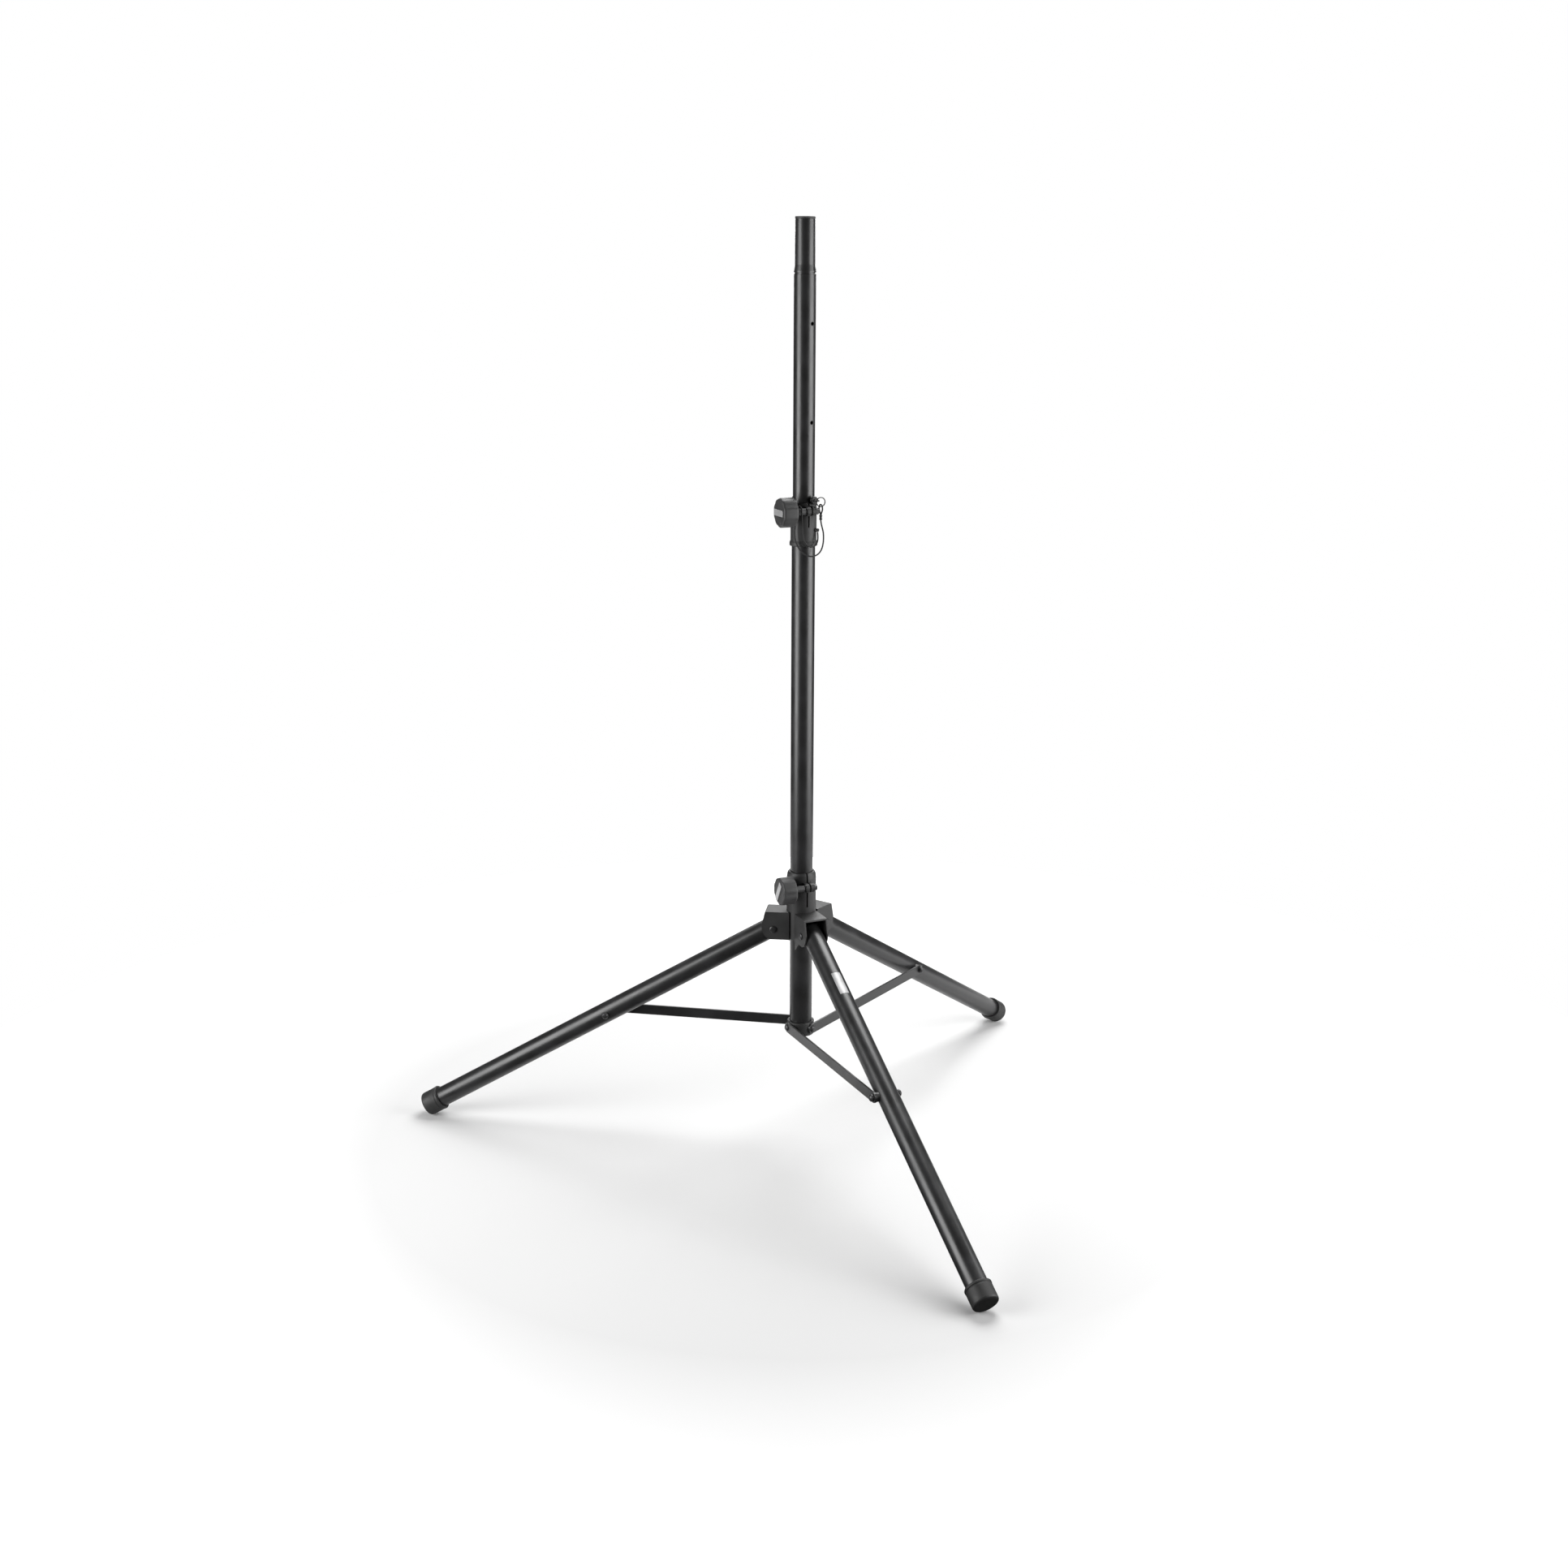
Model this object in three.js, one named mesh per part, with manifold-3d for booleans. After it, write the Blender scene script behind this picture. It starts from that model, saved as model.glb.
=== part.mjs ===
// Tripod stand for a PA speaker. Millimetres, +Z up, floor at z = 0, leg 1 points along -Y.
// The origin is the centre of the three feet's footprint, so the pole stands a little behind it.
import * as THREE from "three";
import { mergeVertices } from "three/addons/utils/BufferGeometryUtils.js";
import Module from "manifold-3d";

const wasm = await Module();
wasm.setup();

// ---- driving dimensions -------------------------------------------------------------------
const GAP = 0.3;
const ROUND = 24;
const SMALL = 12;
const POLE_Y = 178;
const LEG_AZIMUTHS = [-90, 30, 150];

const LOWER_TUBE = { inner: 19.35, outer: 20.65, low: 232, high: 1165 };
const UPPER_TUBE = { inner: 17.55, outer: 19.05, low: 640, high: 1587 };
const PIN_HOLE_HEIGHTS = [885, 1045, 1205, 1338, 1504.5];
const PIN_HOLE_RADIUS = 3.5;

const SPIGOT_RADIUS = 17.45;
const SPIGOT_BORE = 15.5;
const SPIGOT_TOP = 1681;
const SPIGOT_TAPER = { low: 1589.5, high: 1602 };
const CAP_THICKNESS = 3.7;
const RIVET = { azimuth: -53, height: 1594, radius: 2, head: 3 };

const COLLAR = { low: 1124, high: 1200, inner: 20.95, outer: 22.9, lip: 24.6 };
const CLAMP = { slit: 2.8, ear: 6.6, earHeight: 16, earRound: 7, boltRadius: 4, boltHole: 4.4 };
const COLLAR_CLAMP = { height: 1187, bolt: -30, slitLow: 1158, slitHigh: 1201 };
const HUB_CLAMP = { height: 501, bolt: -34.6, slitLow: 461, slitHigh: 526 };

const KNOB = { radius: 26, lobes: 10, lobe: 0.5, edge: 4, near: 32, far: 60, neck: 6 };
const INSERT = { outer: 7, near: 34, far: 52 };
const PLATE = { length: 38, width: 11, thickness: 1.2 };

const PIN = { azimuth: -70, height: 1205, radius: 3.1, tip: -28, head: 7, headNear: 23.4, headFar: 29 };
const PIN_TAB = { eye: 33, thickness: 3, width: 9, hole: 2.4 };
const RING = { radius: 8, wire: 1, drop: 2.5 };

const CORD_RADIUS = 1.3;
const CRIMP = { x: 19, y: -31, radius: 2.8, low: 1171.5, high: 1180 };
const ANCHOR = { azimuth: -50, height: 1152.6, radius: 3, shank: 1.5 };

const HUB = { low: 396, high: 525, inner: 22.9, outer: 27 };
const ARM = { width: 45, channel: 40, top: 449, roof: 3, backWall: 27.9 };
const LEG_PIVOT = { reach: 50, height: 415.4 };
const LEG_ANGLE = THREE.MathUtils.degToRad(30.28);
const LEG = { inner: 17.85, outer: 19.05, near: -9, far: 781 };
const FOOT = { near: 752.4, far: 787.4, radius: 23, bead: 23.6, floor: 781.4 };
const BRACE_AT = 370;
const BRACE_HUB = { low: 206, high: 232, radius: 25, flat: 23.7, pivot: 219.5, plugTop: 262 };
const BRACE = { near: 24, thickness: 4, width: 19 };
const BOLT = { radius: 4, hole: 4.3, head: 6.5 };

// ---- solids -------------------------------------------------------------------------------
const radians = THREE.MathUtils.degToRad;
const QUARTER = Math.PI / 2;

function weld(geometry) {
  const bare = geometry.index ? geometry.clone() : geometry;
  bare.deleteAttribute("normal");
  bare.deleteAttribute("uv");
  const merged = mergeVertices(bare, 1e-4);
  const kept = [];
  for (let i = 0; i < merged.index.count; i += 3) {
    const corners = [0, 1, 2].map((k) => merged.index.getX(i + k));
    if (new Set(corners).size === 3) kept.push(...corners);
  }
  merged.setIndex(kept);
  return merged;
}

function solid(geometry) {
  const vertProperties = new Float32Array(geometry.attributes.position.array);
  const triVerts = new Uint32Array(geometry.index.array);
  return new wasm.Manifold(new wasm.Mesh({ numProp: 3, vertProperties, triVerts }));
}

function surface(manifold) {
  const mesh = manifold.getMesh();
  const geometry = new THREE.BufferGeometry();
  geometry.setAttribute("position", new THREE.BufferAttribute(mesh.vertProperties, 3));
  geometry.setIndex(new THREE.BufferAttribute(mesh.triVerts, 1));
  return geometry;
}

const cut = (body, ...tools) =>
  surface(tools.reduce((rest, tool) => rest.subtract(solid(tool)), solid(body)));

const join = (body, ...more) =>
  surface(more.reduce((sum, piece) => sum.add(solid(piece)), solid(body)));

// A profile is a list of [radius, height] pairs, counter-clockwise, turned about Z.
function turned(profile, segments = ROUND) {
  const points = profile.map(([radius, height]) => new THREE.Vector2(radius, height));
  return weld(new THREE.LatheGeometry(points, segments).rotateX(QUARTER));
}

function tube(inner, outer, low, high, segments = ROUND) {
  const start = [inner, low];
  return turned([start, [outer, low], [outer, high], [inner, high], start], segments);
}

function rod(radius, low, high, segments = SMALL) {
  return turned([[0, low], [radius, low], [radius, high], [0, high]], segments);
}

function box(low, high) {
  const size = high.map((value, i) => value - low[i]);
  const middle = high.map((value, i) => (value + low[i]) / 2);
  return weld(new THREE.BoxGeometry(...size).translate(...middle));
}

const alongX = (geometry) => geometry.rotateY(QUARTER);
const alongY = (geometry) => geometry.rotateX(-QUARTER);

// A prism whose outline lies in the XZ plane and whose sides run from y = near to y = far.
function prismXZ(outline, near, far, holes = []) {
  const shape = new THREE.Shape(outline.map(([x, z]) => new THREE.Vector2(x, z)));
  for (const [x, z, radius] of holes) {
    shape.holes.push(new THREE.Path().absarc(x, z, radius, 0, 2 * Math.PI, true));
  }
  const depth = far - near;
  const plain = new THREE.ExtrudeGeometry(shape, { depth, bevelEnabled: false, curveSegments: SMALL / 2 });
  return weld(plain.rotateX(QUARTER).translate(0, far, 0));
}

function cord(points, radius) {
  const curve = new THREE.CatmullRomCurve3(points.map((p) => new THREE.Vector3(...p)));
  const section = new THREE.Shape();
  for (let side = 0; side < 8; side += 1) {
    const angle = (side / 8) * 2 * Math.PI;
    const corner = [radius * Math.cos(angle), radius * Math.sin(angle)];
    if (side === 0) section.moveTo(...corner);
    else section.lineTo(...corner);
  }
  section.closePath();
  const steps = Math.min(80, Math.round(curve.getLength() / (5 * radius)));
  return weld(new THREE.ExtrudeGeometry(section, { steps, extrudePath: curve, bevelEnabled: false }));
}

// ---- finishes -----------------------------------------------------------------------------
const FINISHES = {
  powder: { color: 0x1b1b1d, roughness: 0.38, metalness: 0.15 },
  casting: { color: 0x2a2a2c, roughness: 0.6, metalness: 0 },
  knob: { color: 0x2e2e30, roughness: 0.7, metalness: 0 },
  bush: { color: 0x3a3a3a, roughness: 0.5, metalness: 0 },
  rubber: { color: 0x161616, roughness: 0.85, metalness: 0 },
  hardware: { color: 0x3c3d40, roughness: 0.35, metalness: 0.8 },
  brass: { color: 0xb59a5a, roughness: 0.35, metalness: 0.9 },
  plate: { color: 0xa9abad, roughness: 0.4, metalness: 0.3 },
  cord: { color: 0x121212, roughness: 0.8, metalness: 0 },
};

function piece(name, geometry, finish) {
  const mesh = new THREE.Mesh(geometry, new THREE.MeshStandardMaterial(FINISHES[finish]));
  mesh.name = name;
  return mesh;
}

// ---- the main pole ------------------------------------------------------------------------
function upperCollar() {
  const { low, high, inner, outer, lip } = COLLAR;
  const mouth = UPPER_TUBE.outer + 0.45;
  const shell = turned([
    [inner, low], [lip - 1, low], [lip, low + 1.5], [lip, low + 6], [outer, low + 10],
    [outer, high - 3], [outer - 1, high], [mouth, high], [mouth, high - 2.7],
    [inner, high - 2.7], [inner, low],
  ]);
  const hole = alongX(rod(ANCHOR.shank + GAP, 15, 40)).rotateZ(radians(ANCHOR.azimuth));
  return cut(
    join(shell, clampEars(COLLAR_CLAMP, outer)),
    clampSlit(COLLAR_CLAMP), clampBore(COLLAR_CLAMP), hole.translate(0, 0, ANCHOR.height),
    rod(inner, low - 1, high - 2.7, ROUND),
  );
}

function collarBush() {
  return tube(UPPER_TUBE.outer + GAP, COLLAR.inner - GAP, LOWER_TUBE.high + GAP, COLLAR.high - 3);
}

function clampEars({ height, bolt }, radius) {
  const half = CLAMP.earHeight / 2;
  const round = CLAMP.earRound;
  const reach = -bolt + half;
  const outline = new THREE.Shape();
  outline.moveTo(radius - 3, -half);
  outline.lineTo(reach - round, -half);
  outline.absarc(reach - round, -half + round, round, -QUARTER, 0, false);
  outline.absarc(reach - round, half - round, round, 0, QUARTER, false);
  outline.lineTo(radius - 3, half);
  const depth = CLAMP.slit + 2 * CLAMP.ear;
  const ears = new THREE.ExtrudeGeometry(outline, { depth, bevelEnabled: false, curveSegments: 4 });
  const turn = new THREE.Matrix4().makeBasis(
    new THREE.Vector3(0, -1, 0), new THREE.Vector3(0, 0, 1), new THREE.Vector3(-1, 0, 0),
  );
  return weld(ears.applyMatrix4(turn).translate(depth / 2, 0, height));
}

function clampSlit({ bolt, slitLow, slitHigh }) {
  const half = CLAMP.slit / 2;
  return box([-half, bolt - 15, slitLow], [half, -18, slitHigh]);
}

function clampBore({ height, bolt }) {
  return alongX(rod(CLAMP.boltHole, -20, 20)).translate(0, bolt, height);
}

// Hex flange bolt: the flange bears on the right ear, the shank ends inside the knob.
function clampBolt({ height, bolt }) {
  const bearing = CLAMP.slit / 2 + CLAMP.ear + GAP;
  const shank = rod(CLAMP.boltRadius, -INSERT.far + 2, bearing + 1);
  const flange = rod(7.4, bearing, bearing + 1.5);
  const hex = rod(6.2, bearing + 1, bearing + 6.3, 6);
  return alongX(join(shank, flange, hex)).translate(0, bolt, height);
}

function clampWasher({ height, bolt }) {
  const far = -CLAMP.slit / 2 - CLAMP.ear - GAP;
  return alongX(tube(CLAMP.boltHole, 7.4, far - 1.4, far, SMALL)).translate(0, bolt, height);
}

function bottomHub() {
  const { low, high, radius, flat, plugTop } = BRACE_HUB;
  const plug = LOWER_TUBE.inner - GAP;
  let body = turned([
    [0, low], [radius - 2, low], [radius, low + 2], [radius, high - GAP], [plug, high - GAP],
    [plug, plugTop - 2], [plug - 1.5, plugTop], [13, plugTop], [13, high + 4], [0, high + 4],
  ]);
  for (const azimuth of LEG_AZIMUTHS) {
    const side = box([-40, -60, low - 1], [40, -flat, high + 1]).rotateZ(radians(azimuth));
    const hole = alongY(rod(BOLT.hole, -60, -9)).translate(0, 0, BRACE_HUB.pivot);
    body = cut(body, side, hole.rotateZ(radians(azimuth)));
  }
  return body;
}

function braceScrew() {
  const face = -BRACE.near - BRACE.thickness - GAP;
  const shank = rod(BOLT.radius, face - 0.5, -10);
  const head = turned([
    [0, face - 3], [4, face - 3], [BOLT.head, face - 1], [BOLT.head, face], [0, face],
  ], SMALL);
  return alongY(join(shank, head));
}

function lanyardAnchor() {
  const face = COLLAR.outer + GAP;
  const shank = rod(ANCHOR.shank, COLLAR.inner + GAP, face + 1);
  const body = turned([
    [0, face], [ANCHOR.radius, face], [ANCHOR.radius, face + 5], [ANCHOR.radius - 1, face + 6.5],
    [0, face + 6.5],
  ], SMALL);
  return alongX(join(shank, body)).translate(0, 0, ANCHOR.height);
}

// The lanyard leaves its anchor, hangs in a loop, goes over the knob's neck, hangs in a larger
// loop and rises to the crimp below the pin's ring. Points are [x, y, z] from the pole's axis.
const LANYARD_ROUTE = [
  [17.7, -21.1, 1149.2], [17.6, -22.5, 1142], [15.8, -25.2, 1134], [11, -27.7, 1127.5],
  [4, -29.2, 1124.5], [-4, -29.8, 1127], [-10.5, -30.5, 1134], [-14.5, -32, 1144],
  [-17, -34.3, 1156], [-19, -36.8, 1169], [-20, -37.9, 1179.5],
  [-20.3, -38.3, 1188], [-20.38, -37.67, 1191.18], [-20.46, -35.87, 1193.87],
  [-20.54, -33.18, 1195.67], [-20.62, -30, 1196.3], [-20.7, -26.82, 1195.67],
  [-20.78, -24.13, 1193.87], [-20.86, -22.33, 1191.18], [-20.94, -21.7, 1188],
  [-21.2, -21.6, 1183.5], [-22, -20.7, 1178], [-23.5, -18.5, 1164], [-24.5, -17.2, 1150],
  [-23.5, -18.8, 1136], [-19.5, -23.4, 1123], [-12, -28.7, 1113.5], [-2.5, -32, 1109],
  [8, -33, 1109.5], [17, -32.5, 1115], [22.5, -31.7, 1125], [24.5, -31.2, 1138],
  [23.5, -31, 1152], [20.6, -31, 1162.5], [19, -31, 1171.2],
];

// The end loop rises from the crimp, passes through the pin's ring above its wire and returns.
const EYE_ROUTE = [
  [19, -32.5, 1180.3], [19, -33.15, 1182.56], [19, -34.45, 1184.53], [19, -35.98, 1186.34],
  [19, -37.3, 1188.3], [19, -38.01, 1190.54], [19, -37.91, 1192.89], [19, -37.01, 1195.07],
  [19, -35.42, 1196.81], [19, -33.33, 1197.89], [19, -31, 1198.2], [19, -28.67, 1197.89],
  [19, -26.58, 1196.81], [19, -24.99, 1195.07], [19, -24.09, 1192.89], [19, -23.99, 1190.54],
  [19, -24.7, 1188.3], [19, -26.02, 1186.34], [19, -27.55, 1184.53], [19, -28.85, 1182.56],
  [19, -29.5, 1180.3],
];

function lowerTube() {
  const { inner, outer, low, high } = LOWER_TUBE;
  return tube(inner, outer, low, high);
}

const mast = new THREE.Group();
mast.add(piece("lower_tube", lowerTube(), "powder"));
mast.add(piece("upper_collar", upperCollar(), "casting"));
mast.add(piece("collar_bush", collarBush(), "bush"));
mast.add(piece("collar_clamp_bolt", clampBolt(COLLAR_CLAMP), "hardware"));
mast.add(piece("collar_clamp_washer", clampWasher(COLLAR_CLAMP), "hardware"));
mast.add(piece("bottom_hub", bottomHub(), "casting"));
LEG_AZIMUTHS.forEach((azimuth, i) => {
  const screw = piece(`brace_screw_${i + 1}`, braceScrew(), "hardware");
  screw.position.z = BRACE_HUB.pivot;
  screw.rotation.z = radians(azimuth);
  mast.add(screw);
});
const anchor = piece("lanyard_anchor", lanyardAnchor(), "hardware");
anchor.rotation.z = radians(ANCHOR.azimuth);
mast.add(anchor);
mast.add(piece("lanyard", cord(LANYARD_ROUTE, CORD_RADIUS), "cord"));
const crimp = rod(CRIMP.radius, CRIMP.low, CRIMP.high).translate(CRIMP.x, CRIMP.y, 0);
mast.add(piece("lanyard_crimp", crimp, "hardware"));
mast.add(piece("lanyard_eye", cord(EYE_ROUTE, CORD_RADIUS), "cord"));

// ---- the telescoping pole -----------------------------------------------------------------
function upperTube() {
  const holes = PIN_HOLE_HEIGHTS.map((height) =>
    alongX(rod(PIN_HOLE_RADIUS, -30, 30)).rotateZ(radians(PIN.azimuth)).translate(0, 0, height));
  return cut(tube(UPPER_TUBE.inner, UPPER_TUBE.outer, UPPER_TUBE.low, UPPER_TUBE.high), ...holes);
}

function poleSpigot() {
  const plug = UPPER_TUBE.inner - GAP;
  const foot = UPPER_TUBE.high + GAP;
  const mouth = SPIGOT_TOP - CAP_THICKNESS - GAP;
  const body = turned([
    [SPIGOT_BORE, 1540], [plug, 1540], [plug, foot], [UPPER_TUBE.outer, foot],
    [UPPER_TUBE.outer, SPIGOT_TAPER.low], [SPIGOT_RADIUS, SPIGOT_TAPER.high],
    [SPIGOT_RADIUS, mouth], [SPIGOT_BORE, mouth], [SPIGOT_BORE, 1540],
  ]);
  const hole = alongX(rod(RIVET.radius + GAP, 12, 30)).rotateZ(radians(RIVET.azimuth));
  return cut(body, hole.translate(0, 0, RIVET.height));
}

function spigotCap() {
  const low = SPIGOT_TOP - CAP_THICKNESS;
  const plug = SPIGOT_BORE - GAP;
  return turned([
    [0, low - 12], [plug, low - 12], [plug, low], [SPIGOT_RADIUS, low],
    [SPIGOT_RADIUS, SPIGOT_TOP - 0.8], [SPIGOT_RADIUS - 0.8, SPIGOT_TOP], [0, SPIGOT_TOP],
  ]);
}

function spigotRivet() {
  const head = turned([[0, 19.4], [RIVET.head, 19.4], [RIVET.head - 1, 20.3], [0, 20.3]], 12);
  return alongX(join(rod(RIVET.radius, 15, 19.6, 12), head)).translate(0, 0, RIVET.height);
}

function tubeGlide() {
  const { inner, outer, low } = UPPER_TUBE;
  return turned([
    [14, low - 4], [outer, low - 4], [outer, low - GAP], [inner - GAP, low - GAP],
    [inner - GAP, low + 22], [14, low + 22], [14, low - 4],
  ]);
}

const upperPole = new THREE.Group();
upperPole.add(piece("upper_tube", upperTube(), "powder"));
upperPole.add(piece("pole_spigot", poleSpigot(), "powder"));
upperPole.add(piece("spigot_cap", spigotCap(), "knob"));
const rivet = piece("spigot_rivet", spigotRivet(), "hardware");
rivet.rotation.z = radians(RIVET.azimuth);
upperPole.add(rivet);
upperPole.add(piece("tube_glide", tubeGlide(), "bush"));

// ---- the safety pin, lying along its own X, head outwards -----------------------------------
function pinBody() {
  const { radius, tip, head, headNear, headFar } = PIN;
  const turnedPart = turned([
    [0, tip], [radius - 1.2, tip], [radius, tip + 1.5], [radius, headNear], [head - 1, headNear],
    [head, headNear + 1], [head, headFar - 1], [head - 1, headFar], [0, headFar],
  ]);
  const half = PIN_TAB.width / 2;
  const tab = new THREE.Shape();
  tab.moveTo(headFar - 1, -half);
  tab.lineTo(PIN_TAB.eye, -half);
  tab.absarc(PIN_TAB.eye, 0, half, -QUARTER, QUARTER, false);
  tab.lineTo(headFar - 1, half);
  tab.holes.push(new THREE.Path().absarc(PIN_TAB.eye, 0, PIN_TAB.hole, 0, 2 * Math.PI, true));
  const depth = PIN_TAB.thickness;
  const eye = new THREE.ExtrudeGeometry(tab, { depth, bevelEnabled: false, curveSegments: SMALL / 2 });
  return join(alongX(turnedPart), weld(eye.translate(0, 0, -depth / 2)));
}

function pinRing() {
  const along = Math.sqrt(RING.radius ** 2 - RING.drop ** 2);
  const upward = new THREE.Vector3(0, 0, 1);
  const eye = new THREE.Vector3(PIN_TAB.eye, 0, 0).applyAxisAngle(upward, radians(PIN.azimuth));
  const ring = new THREE.TorusGeometry(RING.radius, RING.wire, 8, 28).rotateX(QUARTER);
  return weld(ring.translate(eye.x + along, eye.y, PIN.height - RING.drop));
}

const safetyPin = new THREE.Group();
const pin = piece("safety_pin", pinBody(), "knob");
pin.rotation.z = radians(PIN.azimuth);
pin.position.z = PIN.height;
safetyPin.add(pin, piece("pin_ring", pinRing(), "hardware"));

// ---- clamp knobs, lying along -X ------------------------------------------------------------
function knobBody() {
  const { radius, lobes, lobe, edge, near, far, neck } = KNOB;
  const outline = [];
  const count = lobes * 4;
  for (let i = 0; i < count; i += 1) {
    const angle = (i / count) * 2 * Math.PI;
    const reach = radius - edge - lobe + lobe * Math.cos(lobes * angle);
    outline.push(new THREE.Vector2(reach * Math.cos(angle), reach * Math.sin(angle)));
  }
  const depth = far - near - 2 * edge;
  const settings = { depth, bevelSize: edge, bevelThickness: edge, bevelSegments: 2 };
  const grip = new THREE.ExtrudeGeometry(new THREE.Shape(outline), settings);
  const bearing = CLAMP.slit / 2 + CLAMP.ear + 2 * GAP + 1.4;
  const stem = rod(neck, bearing, near + 2, ROUND);
  const solidKnob = join(weld(grip.translate(0, 0, near + edge)), stem);
  const bore = rod(CLAMP.boltHole, bearing - 1, INSERT.far);
  return cut(solidKnob, bore, rod(INSERT.outer + GAP, INSERT.near - GAP, INSERT.far + GAP));
}

function knobGroup(name, { height, bolt }, plateTurn) {
  const group = new THREE.Group();
  group.position.set(0, bolt, height);
  const toLeft = (geometry) => geometry.rotateY(-QUARTER);
  const half = [PLATE.width / 2, PLATE.length / 2];
  const face = KNOB.far + GAP;
  const plate = box([-half[0], -half[1], face], [half[0], half[1], face + PLATE.thickness]);
  group.add(piece(name, toLeft(knobBody()), "knob"));
  const insert = tube(CLAMP.boltHole, INSERT.outer, INSERT.near, INSERT.far, SMALL);
  group.add(piece(`${name}_insert`, toLeft(insert), "brass"));
  group.add(piece(`${name}_plate`, toLeft(plate.rotateZ(radians(plateTurn))), "plate"));
  return group;
}

const upperKnob = knobGroup("upper_knob", COLLAR_CLAMP, 0);
const hubKnob = knobGroup("hub_knob", HUB_CLAMP, 60);

// ---- the tripod hub -------------------------------------------------------------------------
const inAzimuth = (geometry, azimuth) => geometry.rotateZ(radians(azimuth));

function hubArm() {
  const half = ARM.width / 2;
  const slot = ARM.channel / 2;
  const { low } = HUB;
  const sides = prismXZ(
    [[20, low], [56, low], [64, low + 4], [70, low + 14], [71.5, low + 25], [65, ARM.top], [20, ARM.top]],
    -half, half,
  );
  const gusset = prismXZ([[22, low + 1], [22, low - 15], [25, low - 16], [40, low + 1]], -half, -slot);
  return join(sides, gusset);
}

function tripodHub() {
  const { low, high, inner, outer } = HUB;
  const slot = ARM.channel / 2;
  let body = turned([
    [0, low], [outer, low], [outer, high - 11], [outer - 1, high - 4], [outer - 3, high], [0, high],
  ]);
  for (const azimuth of LEG_AZIMUTHS) body = join(body, inAzimuth(hubArm(), azimuth));
  body = join(body, clampEars(HUB_CLAMP, outer));
  const channel = () => box([ARM.backWall, -slot, low - 30], [90, slot, ARM.top - ARM.roof]);
  const pivotHole = () =>
    alongY(rod(BOLT.hole, -40, 40)).translate(LEG_PIVOT.reach, 0, LEG_PIVOT.height);
  for (const azimuth of LEG_AZIMUTHS) {
    body = cut(body, inAzimuth(channel(), azimuth), inAzimuth(pivotHole(), azimuth));
  }
  const mouth = LOWER_TUBE.outer + 0.4;
  return cut(
    body, rod(inner, low - 20, high - 7, ROUND), rod(mouth, low, high + 1, ROUND),
    clampSlit(HUB_CLAMP), clampBore(HUB_CLAMP),
  );
}

function legPivotBolt() {
  const wall = ARM.width / 2 + GAP;
  const shank = rod(BOLT.radius, -wall - 0.5, wall + 1.2);
  const head = turned([
    [0, -wall - 2.4], [4.5, -wall - 2.4], [BOLT.head, -wall - 1], [BOLT.head, -wall], [0, -wall],
  ], SMALL);
  return alongY(join(shank, head));
}

function legPivotNut() {
  const wall = ARM.width / 2 + GAP;
  return alongY(turned([
    [BOLT.hole, wall], [BOLT.head, wall], [BOLT.head, wall + 1.6], [4.5, wall + 3], [0, wall + 3],
    [0, wall + 1.7], [BOLT.hole, wall + 1.7], [BOLT.hole, wall],
  ], SMALL));
}

const hub = new THREE.Group();
hub.add(piece("tripod_hub", tripodHub(), "casting"));
hub.add(piece("hub_bush", tube(LOWER_TUBE.outer + GAP, HUB.inner - GAP, HUB.low + 4, HUB.high - 8), "bush"));
hub.add(piece("hub_clamp_bolt", clampBolt(HUB_CLAMP), "hardware"));
hub.add(piece("hub_clamp_washer", clampWasher(HUB_CLAMP), "hardware"));
LEG_AZIMUTHS.forEach((azimuth, i) => {
  const around = new THREE.Group();
  around.rotation.z = radians(azimuth);
  for (const [name, make] of [["leg_pivot_bolt", legPivotBolt], ["leg_pivot_nut", legPivotNut]]) {
    const mesh = piece(`${name}_${i + 1}`, make(), "hardware");
    mesh.position.set(LEG_PIVOT.reach, 0, LEG_PIVOT.height);
    around.add(mesh);
  }
  hub.add(around);
});

// ---- legs: each lies along its own X from the hub pivot, sloping down by LEG_ANGLE -------------
function legTube() {
  const bare = alongX(tube(LEG.inner, LEG.outer, LEG.near, LEG.far));
  const hole = (at) => alongY(rod(BOLT.hole, -40, 40)).translate(at, 0, 0);
  return cut(bare, hole(0), hole(BRACE_AT));
}

function legPlug() {
  const radius = LEG.inner - GAP;
  return alongX(turned([[0, -11.8], [radius - 1.5, -11.8], [radius, -10.3], [radius, -5], [0, -5]]));
}

function foot() {
  const { near, far, radius, bead, floor } = FOOT;
  const bore = LEG.outer + GAP;
  return alongX(turned([
    [0, floor], [bore, floor], [bore, near], [bead - 1, near], [bead, near + 1.2], [bead, near + 4],
    [radius - 0.7, near + 5.4], [radius, near + 7], [radius, far - 4], [radius - 0.9, far - 1.4],
    [radius - 4, far], [0, far],
  ]));
}

function braceBolt() {
  const crest = LEG.outer + GAP;
  const shank = rod(BOLT.radius, -BRACE.near + GAP, crest + 1);
  const head = turned([
    [0, crest], [BOLT.head, crest], [BOLT.head, crest + 3], [4, crest + 6], [0, crest + 6],
  ], SMALL);
  return alongY(join(shank, head)).translate(BRACE_AT, 0, 0);
}

function braceSpacer() {
  const blank = alongY(tube(BOLT.hole, 8.5, -BRACE.near + GAP, -12, SMALL)).translate(BRACE_AT, 0, 0);
  return cut(blank, alongX(rod(LEG.outer + GAP, BRACE_AT - 20, BRACE_AT + 20, ROUND)));
}

// ---- braces: each lies along its own X from the bottom hub's pivot ----------------------------
const outerPivot = new THREE.Vector2(
  LEG_PIVOT.reach + BRACE_AT * Math.cos(LEG_ANGLE),
  LEG_PIVOT.height - BRACE_AT * Math.sin(LEG_ANGLE) - BRACE_HUB.pivot,
);
const BRACE_LENGTH = outerPivot.length();
const BRACE_ANGLE = outerPivot.angle();

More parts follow.
